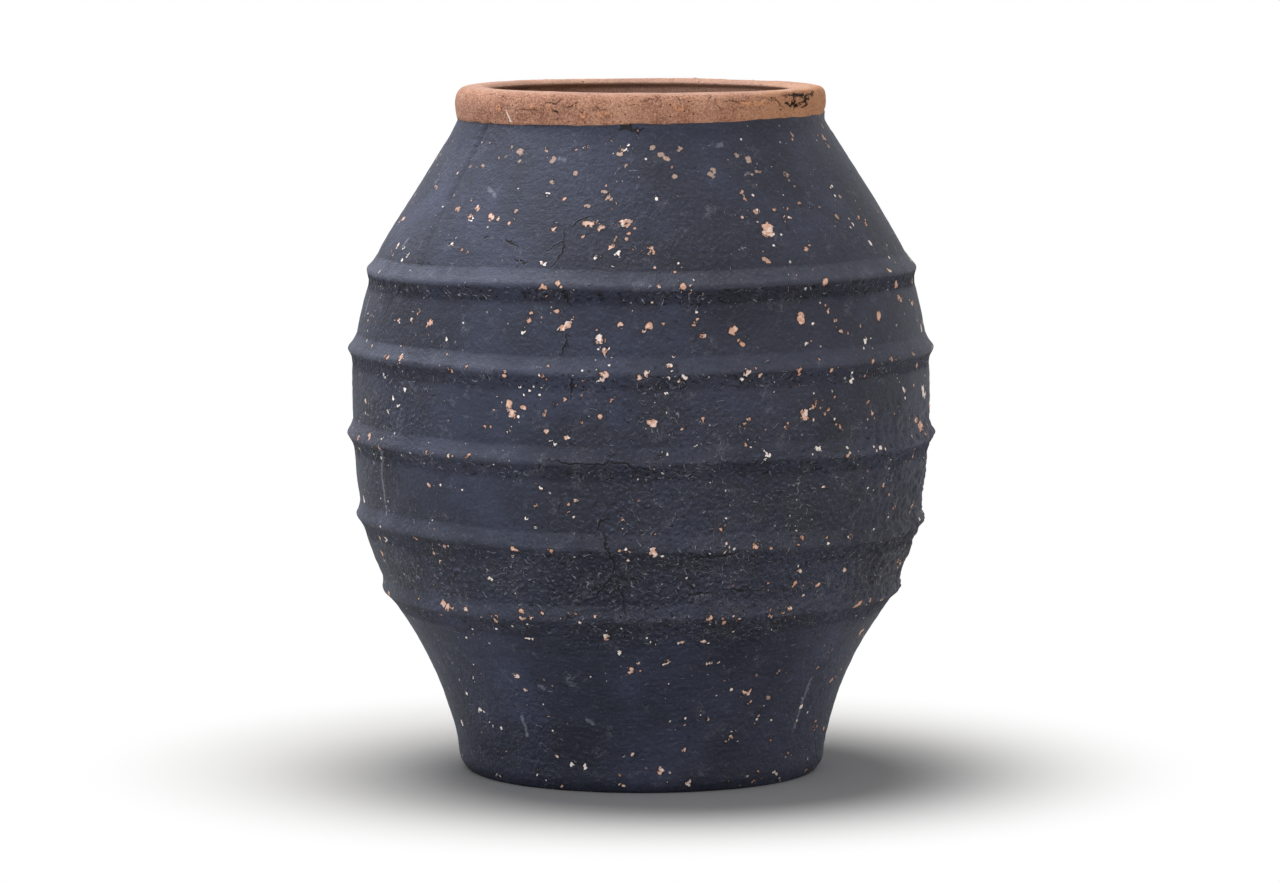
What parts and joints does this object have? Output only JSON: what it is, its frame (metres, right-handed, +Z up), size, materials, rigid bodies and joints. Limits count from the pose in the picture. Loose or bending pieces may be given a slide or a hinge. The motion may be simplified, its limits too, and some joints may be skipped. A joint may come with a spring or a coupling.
{
  "type": "terracotta floor planter",
  "caption": "Round-bellied terracotta floor jar with raised bands round the belly, a flared foot and a thick bare rolled rim; holds soil and a plant, with a drain hole in its floor.",
  "frame": {"origin": "middle of the base, on the ground", "axes": "+Z up along the jar's turning axis; the pictured side faces -Y, +X is the picture's right"},
  "size_m": [0.43, 0.43, 0.5],
  "materials": {
    "painted_clay": "chalky blue-black limewash over fired clay, chipped",
    "bare_clay": "bare fired terracotta, weathered"
  },
  "bodies": {
    "root": {"floor_slab": "painted_clay", "foot_wall": "painted_clay", "drum_1": "painted_clay", "drum_2": "painted_clay", "drum_3": "painted_clay", "drum_4": "painted_clay", "shoulder_wall": "painted_clay", "rim_roll": "bare_clay", "band_1": "painted_clay", "band_2": "painted_clay", "band_3": "painted_clay", "band_4": "painted_clay", "band_5": "painted_clay"}
  },
  "joints": []
}
